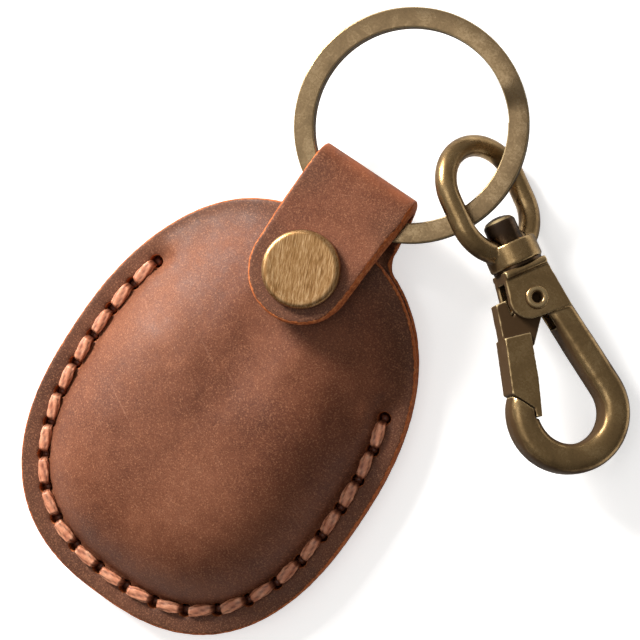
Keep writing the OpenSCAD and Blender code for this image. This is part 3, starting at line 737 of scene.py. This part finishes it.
def add_wear_and_painted_light(obj, matrix, voxel, least=0.0, recess=None):
    """bend: over 0 at convex edges and under 0 in hollows. polish: 1 on the broad faces, which rub bright,
    down to the least value on the side walls, whose darkness is patina and painted shade. Faces nearer the
    middle plane than recess stay dark, as painted shade."""
    co, normal = vertices_of(obj), normals_of(obj)
    links = neighbours(faces_of(obj), len(co))
    pull = averaged(co, links, 1) - co
    bend = averaged(-(pull * normal).sum(1), links, 5, 0.7)[:, 0] / voxel
    face = np.array(matrix)[:3, 2]
    polish_and_shade = least + (1 - least) * averaged(np.abs(normal @ face), links, 3, 0.7)[:, 0]
    if recess is not None:
        height = moved(co, matrix.inverted())[:, 2]
        # Painted shade in the recess
        polish_and_shade = polish_and_shade * fade(np.abs(height), recess, 0.3)
    set_attribute(obj, "bend", bend)
    set_attribute(obj, "polish_and_shade", polish_and_shade)


def profile_wear_and_painted_light(obj, bends, polish_and_shade):
    """Bright edges and dark walls of a lathed or swept piece, from one value a point of its profile: patina
    and rubbing, and painted light. It comes before weld().
    """
    turns = len(obj.data.vertices) // len(bends)
    set_attribute(obj, "bend", np.tile(bends, turns))
    set_attribute(obj, "polish_and_shade", np.tile(polish_and_shade, turns))


def turned_piece(name, profile, sides, matrix, sharp, axis="Z", wear_and_painted_light=None):
    """A lathed piece. Its bend and polish, for each point of the profile, give rubbing and patina as well as
    painted light.
    """
    verts, faces = lathe(profile, sides, axis)
    obj = mesh_object(name, moved(verts, matrix), faces)
    if wear_and_painted_light is not None:
        profile_wear_and_painted_light(obj, *wear_and_painted_light)
    weld(obj)
    sharpen(obj, sharp)
    return obj


def make_cap():
    """The snap's cap: a slightly hollow face inside a rounded rim, and its tube through the strap."""
    face = [(0, 1.13), (1.5, 1.135), (3.0, 1.15), (3.9, 1.17), (4.1, 1.19)]
    rim = [(4.35, 1.2), (4.6, 1.15), (4.8, 1.03), (4.93, 0.86), (5.0, 0.62), (5.0, 0.3), (4.93, 0.12),
           (4.75, 0.02), (4.4, 0.0)]
    tube = [(1.0, 0.0), (1.0, -1.8), (0, -1.8)]
    profile = [(r, h + SNAP_GAP + LEATHER) for r, h in face + rim + tube]
    return turned_piece("snap_cap_piece", profile, 160, SNAP_FRAME, 50)


def rounded_section(w, t, r, steps):
    """A rectangle w by t with rounded corners of steps + 1 points each."""
    points = []
    for q in range(4):
        c = math.pi / 4 + math.pi / 2 * q
        for i in range(steps + 1):
            a = math.pi / 2 * (q + i / steps)
            points.append(((w / 2 - r) * np.sign(math.cos(c)) + r * math.cos(a),
                           (t / 2 - r) * np.sign(math.sin(c)) + r * math.sin(a)))
    return points


def make_ring():
    """The split ring: flat wire that runs nearly two turns and climbs from the lower level to the upper."""
    level, steps = (WIRE_T + TURN_GAP) / 2, 5
    lower = np.arange(25 - 360, 0, 1.5)
    climbing = np.arange(0, RING_CLIMB, 1)
    upper = np.arange(RING_CLIMB, 357.1, 1.5)
    turns = np.radians(np.concatenate([lower, climbing, upper]))
    section = rounded_section(WIRE_W, WIRE_T, 0.22, steps)
    verts = []
    for a in turns:
        climb = level * math.sin(math.pi / 2 * max(-1, min(1, 2 * math.degrees(a) / RING_CLIMB - 1)))
        t = a + math.radians(RING_SPLIT_AT)
        for x, z in section:
            r = RING_R - WIRE_W / 2 + x
            verts.append((RING_X + r * math.cos(t), RING_Y + r * math.sin(t), FOLD_Z + climb + z))
    obj = mesh_object("key_ring", verts, [face[::-1] for face in tube_faces(len(turns), len(section))])
    corner = [math.sin(math.pi * (i % (steps + 1)) / steps) for i in range(len(section))]
    flat = [abs(z) / (WIRE_T / 2) for _, z in section]
    # Bright corners are brass bared by rubbing and a painted highlight; the darker walls are patina and
    # painted shade
    profile_wear_and_painted_light(obj, [0.07 * c for c in corner], [1.0 if f > 0.95 else 0.3 for f in flat])
    sharpen(obj, 50)
    return obj


def eye_loop():
    """The eye's oval of round wire, as two half circles joined by straights."""
    around, sides = 128, 32
    verts = []
    for j in range(around):
        a = 2 * math.pi * (j + 0.5) / around
        y = EYE_Y + math.copysign(EYE_STRETCH, math.sin(a))
        for i in range(sides):
            b = 2 * math.pi * i / sides
            r = EYE_R + EYE_WIRE_R * math.cos(b)
            verts.append((r * math.cos(a), y + r * math.sin(a), EYE_WIRE_R * math.sin(b)))
    return np.array(verts), [tuple(reversed(f)) for f in tube_faces(around, sides, closed=True)]


def make_eye():
    """The eye: its loop and its collar, with the pin's bore and a recess for the pin's head."""
    collar = lathe([(0, -0.7), (3.3, -0.7), (3.5, -0.5), (3.5, 2.0), (3.3, 2.2), (0, 2.2)], 64, "Y")
    bore = lathe([(0, -3), (1.25, -3), (1.25, 1.35), (2.5, 1.35), (2.5, 9), (0, 9)], 64, "Y")
    parts = [(moved(verts, EYE_FRAME), faces) for verts, faces in (eye_loop(), collar)]
    return fused("swivel_eye_piece", parts, [(moved(bore[0], EYE_FRAME), bore[1])], EYE_VOXEL, EYE_ROUNDS)


def make_pin():
    """The swivel pin: its shank, a flat shoulder under the collar, and its round head inside the eye."""
    shank = [(0, -2.4), (1.2, -2.4)]
    shoulder = [(1.2, -1.02), (3.25, -1.02), (3.25, -0.7), (1.2, -0.7)]
    head = [(1.2, 1.45), (1.85, 1.45), (2.05, 1.55), (2.1, 1.75), (2.1, 4.85), (2.05, 5.02), (1.95, 5.15),
            (1.72, 5.42), (1.55, 5.52), (1.1, 5.68), (0.55, 5.8), (0, 5.84)]
    profile = shank + shoulder + head
    # The head's rounded rim is bright: brass bared by rubbing, and a painted highlight
    wear_and_painted_light = ([0.09 if 5.1 < h < 5.5 else 0 for _, h in profile], [0.7] * len(profile))
    return turned_piece("swivel_pin_piece", profile, 72, HOOK_FRAME, 55, "Y", wear_and_painted_light)


def make_rivet():
    """The gate's rivet: two rolled ends, and a bore that is closed in the middle."""
    bore = [(0, 1.2), (0.66, 1.2)]
    rolled = [(0.7, 2.62), (0.78, 2.78), (0.95, 2.85), (1.25, 2.84), (1.42, 2.74), (1.5, 2.6), (1.46, 2.5),
              (1.25, 2.5)]
    half = bore + rolled
    profile = half + [(r, -h) for r, h in reversed(half)]
    # The rolled ends are bright, with a painted highlight on their rims; the rest is darker, as patina and
    # painted shade
    wear_and_painted_light = ([0.07 if abs(h) > 2.8 else 0 for _, h in profile], [1 if abs(h) > 2.7 else 0 for _, h in profile])
    at = HOOK_FRAME @ Matrix.Translation(Vector((PIVOT_X, PIVOT_Y, 0)))
    return turned_piece("gate_rivet_piece", profile, 56, at, 60, wear_and_painted_light=wear_and_painted_light)


cap = make_cap()
ring = make_ring()
eye = make_eye()
pin = make_pin()
rivet = make_rivet()
hook = fused("trigger_hook", [node_part("hook_body")], [], HOOK_VOXEL, HOOK_ROUNDS)
gate = fused("hook_gate", [node_part("gate")], [], GATE_VOXEL, GATE_ROUNDS)
round_bar(hook, gate)
add_wear_and_painted_light(eye, EYE_FRAME, EYE_VOXEL, least=0.58)
add_wear_and_painted_light(hook, HOOK_FRAME, HOOK_VOXEL)
# The gate's ears, recessed under the hook's cheeks, get painted shade
add_wear_and_painted_light(gate, HOOK_FRAME, GATE_VOXEL, recess=1.5)


# Materials
def linear(r, g, b):
    """Blender's linear colour for an sRGB one of 0 to 255."""
    return tuple(((c / 255 + 0.055) / 1.055) ** 2.4 for c in (r, g, b)) + (1.0,)


class Nodes:
    """Short calls for building a material's node tree."""

    def __init__(self, name):
        self.material = bpy.data.materials.new(name)
        self.material.use_nodes = True
        self.tree = self.material.node_tree
        self.tree.nodes.clear()
        out = self.tree.nodes.new("ShaderNodeOutputMaterial")
        self.shader = self.tree.nodes.new("ShaderNodeBsdfPrincipled")
        self.tree.links.new(self.shader.outputs[0], out.inputs[0])

    def put(self, socket, value):
        if isinstance(value, bpy.types.NodeSocket):
            self.tree.links.new(value, socket)
        else:
            socket.default_value = value

    def node(self, kind, inputs=(), **props):
        node = self.tree.nodes.new(kind)
        for key, value in props.items():
            setattr(node, key, value)
        for key, value in dict(inputs).items():
            self.put(node.inputs[key], value)
        return node

    def attribute(self, name, output="Fac"):
        return self.node("ShaderNodeAttribute", attribute_name=name).outputs[output]

    def stretched(self, vector, scale, turn):
        """A vector turned about its axes, in degrees, and then scaled."""
        turn = tuple(math.radians(t) for t in turn)
        turned = self.node("ShaderNodeMapping", {"Vector": vector, "Rotation": turn}).outputs[0]
        return self.node("ShaderNodeMapping", {"Vector": turned, "Scale": scale}).outputs[0]

    def object_mm(self, scale=(1, 1, 1), turn=(0, 0, 0)):
        """The place on the object in millimetres, turned and stretched."""
        place = self.node("ShaderNodeTexCoord").outputs["Object"]
        return self.stretched(place, tuple(s / MM for s in scale), turn)

    def noise(self, vector, scale, detail=3, rough=0.55, distortion=0):
        return self.node("ShaderNodeTexNoise", {"Vector": vector, "Scale": scale, "Detail": detail,
                                                "Roughness": rough, "Distortion": distortion}).outputs[0]

    def cells(self, vector, scale):
        return self.node("ShaderNodeTexVoronoi", {"Vector": vector, "Scale": scale}).outputs["Distance"]

    def math(self, operation, a, b=0.0):
        return self.node("ShaderNodeMath", {0: a, 1: b}, operation=operation).outputs[0]

    def times(self, a, b):
        return self.math("MULTIPLY", a, b)

    def weighted(self, a, share_a, b, share_b):
        return self.math("ADD", self.times(a, share_a), self.times(b, share_b))

    def span(self, value, low, high, to_low=0, to_high=1):
        return self.node("ShaderNodeMapRange", {"Value": value, "From Min": low, "From Max": high,
                                                "To Min": to_low, "To Max": to_high},
                         interpolation_type="SMOOTHSTEP").outputs[0]

    def mix(self, factor, a, b):
        node = self.node("ShaderNodeMix", data_type="RGBA")
        self.put(node.inputs[0], factor)
        self.put(node.inputs[6], a)
        self.put(node.inputs[7], b)
        return node.outputs[2]

    def ramp(self, value, stops):
        node = self.node("ShaderNodeValToRGB", {"Fac": value})
        elements = node.color_ramp.elements
        while len(elements) < len(stops):
            elements.new(0.5)
        for element, (at, colour) in zip(elements, stops):
            element.position, element.color = at, linear(*colour)
        return node.outputs[0]

    def bump(self, height, distance, strength, under=None):
        """A bump, over another one if that is given."""
        inputs = {"Height": height, "Distance": distance, "Strength": strength}
        if under is not None:
            inputs["Normal"] = under
        return self.node("ShaderNodeBump", inputs).outputs[0]

    def set(self, **sockets):
        for name, value in sockets.items():
            self.put(self.shader.inputs[name.replace("_", " ")], value)
        return self.material


def leather_material():
    n = Nodes("pull_up_leather")
    p = n.attribute("pattern", "Vector")
    edge = n.attribute("edge")
    rim = n.attribute("rim")
    # The hide's tone: large blotches and mottling, darker along the rim
    mottle = n.noise(p, 0.42, 6, 0.62, 0.3)
    tone = n.weighted(n.noise(p, 0.06, 2, 0.5, 0.3), 0.6, mottle, 0.4)
    tone = n.math("SUBTRACT", tone, n.times(rim, 0.10))
    colour = n.ramp(tone, [(0.26, (78, 39, 23)), (0.45, (107, 60, 39)), (0.60, (126, 75, 51)),
                           (0.78, (142, 94, 70))])
    colour = n.mix(n.times(rim, 0.45), colour, linear(90, 60, 42))
    # Pale and dark grain, pale specks and long scratches
    grain = n.noise(p, 4.8, 4, 0.75)
    colour = n.mix(n.span(grain, 0.50, 0.66, 0, 0.55), colour, linear(180, 124, 90))
    colour = n.mix(n.span(n.noise(p, 5.6, 4, 0.75), 0.50, 0.64, 0, 0.60), colour, linear(62, 28, 16))
    specks = n.times(n.span(n.cells(p, 1.5), 0.10, 0.03), n.span(n.noise(p, 0.3, 2), 0.42, 0.6))
    colour = n.mix(n.times(specks, 0.3), colour, linear(184, 136, 106))
    scratch_at = n.stretched(p, (0.09, 2.4, 1), (0, 0, 27))
    scratch = n.span(n.noise(scratch_at, 1.0, 3, 0.6, 0.6), 0.66, 0.71)
    colour = n.mix(n.times(scratch, 0.25), colour, linear(168, 120, 94))
    # Oil pulled away where the strap folds
    along = n.node("ShaderNodeSeparateXYZ", {"Vector": p}).outputs["Y"]
    from_crest = n.math("ABSOLUTE", n.math("SUBTRACT", along, CREST_V))
    pulled = n.times(n.span(from_crest, 2.6, 0.4), n.span(mottle, 0.3, 0.6, 0.25, 0.6))
    colour = n.mix(pulled, colour, linear(176, 96, 54))
    # Raw leather at cut edges and torn holes
    fray = n.math("ADD", edge, n.span(n.noise(p, 1.6, 5, 0.7), 0.2, 0.8, -0.35, 0.35))
    raw = n.ramp(n.noise(p, 2.2, 5, 0.7), [(0.3, (128, 64, 30)), (0.52, (188, 102, 52)),
                                           (0.72, (214, 144, 92))])
    colour = n.mix(n.span(fray, 0.50, 0.86), colour, raw)
    rough = n.span(mottle, 0.3, 0.75, 0.50, 0.64)
    rough = n.math("ADD", rough, n.times(n.span(edge, 0.4, 0.9), 0.25))
    relief = n.weighted(grain, 0.6, n.span(n.cells(p, 3.0), 0.0, 0.3), 0.3)
    fine = n.bump(relief, 0.00007, 0.7)
    coarse = n.bump(n.noise(p, 0.55, 4, 0.6, 0.8), 0.00030, 0.13, fine)
    return n.set(Base_Color=colour, Roughness=rough, Normal=coarse, Specular_IOR_Level=0.26)


def thread_material():
    n = Nodes("waxed_braid")
    p = n.object_mm()
    fibre = n.noise(p, 5.5, 4, 0.7)
    colour = n.ramp(n.noise(p, 0.9, 4, 0.6), [(0.3, (188, 112, 80)), (0.55, (222, 152, 116)),
                                              (0.8, (246, 194, 160))])
    colour = n.mix(n.span(fibre, 0.35, 0.7, 0, 0.4), colour, linear(164, 96, 68))
    # Painted shade: the braid's grooves, the stitches' ends and the thread inside the holes
    colour = n.mix(n.times(n.attribute("shade"), 0.92), colour, linear(84, 38, 22))
    return n.set(Base_Color=colour, Roughness=n.span(fibre, 0.3, 0.7, 0.36, 0.55),
                 Normal=n.bump(fibre, 0.00005, 0.6), Specular_IOR_Level=0.5)


def metal_material(name, dark, middle, light, wear_and_painted_light=0.85, worn_and_shaded=True):
    """Aged metal in three tones. Where the piece has the polish and bend attributes, they steer its colour:
    dull and dark on side walls, which is patina and painted shade; dark patina in hollows; and bright on
    ridges, which is brass bared by rubbing and a painted highlight."""
    n = Nodes(name)
    p = n.object_mm()
    metallic, dull = 1.0, 0.0
    cloud = n.noise(p, 0.22, 4, 0.6, 0.5)
    speckle = n.noise(p, 3.2, 6, 0.72)
    tone = n.weighted(cloud, 0.6, speckle, 0.4)
    colour = n.ramp(tone, [(0.32, [0.8 * c for c in middle]), (0.50, middle), (0.68, light)])
    if worn_and_shaded:
        # Dark, dull side walls: patina, and painted shade
        rubbed_and_shaded = n.math("ADD", n.attribute("polish_and_shade"), n.span(cloud, 0.3, 0.7, -0.15, 0.15))
        colour = n.mix(n.span(rubbed_and_shaded, 0.88, 0.45, 0, 0.96), colour, linear(*dark))
        metallic = n.span(rubbed_and_shaded, 0.4, 0.8)
        dull = n.span(rubbed_and_shaded, 0.8, 0.4, 0, 0.3)
    spots = n.span(n.noise(p, 6.5, 3, 0.8), 0.58, 0.70, 0, 0.45)
    colour = n.mix(spots, colour, linear(*dark))
    if worn_and_shaded:
        bend = n.attribute("bend")
        colour = n.mix(n.span(bend, -0.015, -0.08, 0, 0.8), colour, linear(*(0.7 * c for c in dark)))
        # Bright ridges: brass bared by rubbing, and a painted highlight
        colour = n.mix(n.times(n.span(bend, 0.035, 0.10), wear_and_painted_light), colour, linear(232, 206, 156))
    rough = n.math("ADD", n.span(tone, 0.35, 0.65, 0.36, 0.22), dull)
    return n.set(Base_Color=colour, Metallic=metallic, Roughness=rough, Normal=n.bump(speckle, 0.00003, 0.35),
                 Specular_IOR_Level=0.08)


def brushed_material():
    """The cap's brass, brushed in one direction with fine and wide lines."""
    n = Nodes("brushed_brass")
    lines = n.noise(n.object_mm((7.5, 0.04, 7.5), (0, 0, -25)), 1.0, 5, 0.7)
    wide = n.noise(n.object_mm((1.3, 0.05, 1.3), (0, 0, -25)), 1.0, 3, 0.6)
    tone = n.weighted(lines, 0.8, wide, 0.2)
    colour = n.ramp(tone, [(0.36, (112, 77, 44)), (0.5, (164, 125, 81)), (0.64, (216, 181, 137))])
    return n.set(Base_Color=colour, Metallic=1.0, Roughness=n.span(tone, 0.3, 0.7, 0.46, 0.30),
                 Normal=n.bump(lines, 0.00004, 0.5))


LEATHER_MATERIAL = leather_material()
THREAD_MATERIAL = thread_material()
CAP_MATERIAL = brushed_material()
BRASS_MATERIAL = metal_material("antique_brass", (66, 48, 30), (152, 125, 86), (190, 162, 118))
RING_MATERIAL = metal_material("aged_brass", (58, 44, 28), (136, 114, 84), (168, 145, 112))
DARK_MATERIAL = metal_material("dark_brass", (38, 28, 20), (66, 50, 36), (96, 76, 56), wear_and_painted_light=0.45)
PLAIN_MATERIAL = metal_material("plain_brass", (84, 62, 38), (160, 132, 92), (196, 168, 124), worn_and_shaded=False)
STEEL_MATERIAL = metal_material("spring_steel", (90, 90, 90), (150, 150, 150), (196, 196, 196), worn_and_shaded=False)


def finish_piece(obj, material, slot, *nodes):
    obj.data.materials.append(material)
    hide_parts(*nodes)


RIGID_PIECES = (
    (front, "pouch", LEATHER_MATERIAL, "brown_leather", "front_panel"),
    (stitches, "pouch", THREAD_MATERIAL, "waxed_thread", "seam_thread"),
    (cap, "flap", CAP_MATERIAL, "brushed_brass", "snap_cap"),
    (ring, "ring", RING_MATERIAL, "antique_brass", "split_ring"),
    (eye, "eye", BRASS_MATERIAL, "antique_brass", "swivel_eye"),
    (pin, "hook", DARK_MATERIAL, "dark_brass", "swivel_pin"),
    (hook, "hook", BRASS_MATERIAL, "antique_brass", "hook_body"),
    (gate, "gate", BRASS_MATERIAL, "antique_brass", "gate"),
    (rivet, "hook", BRASS_MATERIAL, "antique_brass", "gate_rivet"),
)
for piece, body, material, slot, node in RIGID_PIECES:
    finish_piece(piece, material, slot, node)
    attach(piece, body)
finish_piece(back, LEATHER_MATERIAL, "brown_leather", "back_panel", "strap_fold", "strap_flap")
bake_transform(back)

# CAD nodes that stay as they are, with better materials
for material, nodes in ((PLAIN_MATERIAL, ("snap_socket", "snap_stud", "snap_post")),
                        (STEEL_MATERIAL, ("socket_spring", "gate_spring"))):
    for node in nodes:
        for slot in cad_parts[node].material_slots:
            slot.material = material

# Floor, in millimetres, and the room's light
FLOOR_HALF, FLOOR_Z, FLOOR_GLOW = 900, -0.1, 0.55
WORLD_COLOUR, WORLD_LOW, WORLD_HIGH = (1, 0.955, 0.91, 1), 0.14, 0.50
BRIGHT_SIDE, BRIGHT_FROM = Vector((-0.75, 0.25, 0.6)), -0.3


def make_floor():
    """A pale floor. The camera also sees a glow of its own, which isn't reflected in the metal."""
    n = Nodes("floor")
    tint = n.mix(n.noise(n.object_mm(), 0.01, 2), linear(238, 238, 238), linear(242, 242, 242))
    n.set(Base_Color=tint, Roughness=0.9, Specular_IOR_Level=0.1)
    path = n.node("ShaderNodeLightPath").outputs
    seen = n.math("MAXIMUM", path["Is Camera Ray"], path["Is Transmission Ray"])
    n.set(Emission_Color=(1, 1, 1, 1), Emission_Strength=n.times(seen, FLOOR_GLOW))
    corners = [(x * FLOOR_HALF, y * FLOOR_HALF, FLOOR_Z) for x, y in ((-1, -1), (1, -1), (1, 1), (-1, 1))]
    floor = mesh_object("floor", corners, [(0, 1, 2, 3)])
    floor.data.materials.append(n.material)


def make_light(name, at, target, size, power, colour=(1, 1, 1)):
    """A square lamp at a place and aimed at a target, in metres."""
    data = bpy.data.lights.new(name, "AREA")
    data.shape, data.size, data.energy, data.color = "SQUARE", size, power, colour
    light = new_object(name, data)
    light.location = at
    light.rotation_euler = (Vector(at) - Vector(target)).to_track_quat("Z", "Y").to_euler()


def make_world():
    """A softbox room: brighter towards the image's upper left, dimmer on the other side."""
    world = bpy.data.worlds.new("studio")
    bpy.context.scene.world = world
    world.use_nodes = True
    tree = world.node_tree
    background = tree.nodes["Background"]
    background.inputs["Color"].default_value = WORLD_COLOUR
    direction = tree.nodes.new("ShaderNodeTexCoord").outputs["Generated"]
    facing = tree.nodes.new("ShaderNodeVectorMath")
    facing.operation = "DOT_PRODUCT"
    facing.inputs[1].default_value = BRIGHT_SIDE.normalized()
    tree.links.new(direction, facing.inputs[0])
    level = tree.nodes.new("ShaderNodeMapRange")
    ends = (("From Min", BRIGHT_FROM), ("From Max", 1.0), ("To Min", WORLD_LOW), ("To Max", WORLD_HIGH))
    for socket, value in ends:
        level.inputs[socket].default_value = value
    tree.links.new(facing.outputs["Value"], level.inputs["Value"])
    tree.links.new(level.outputs[0], background.inputs["Strength"])


make_floor()
make_world()
make_light("key", at=(-0.490, 0.135, 0.270), target=(0.0, 0.015, 0.0), size=0.20, power=6.9,
           colour=(1.0, 0.97, 0.93))
make_light("overhead", at=(-0.09, -0.05, 0.60), target=(0.004, 0.018, 0.0), size=0.34, power=0.40)
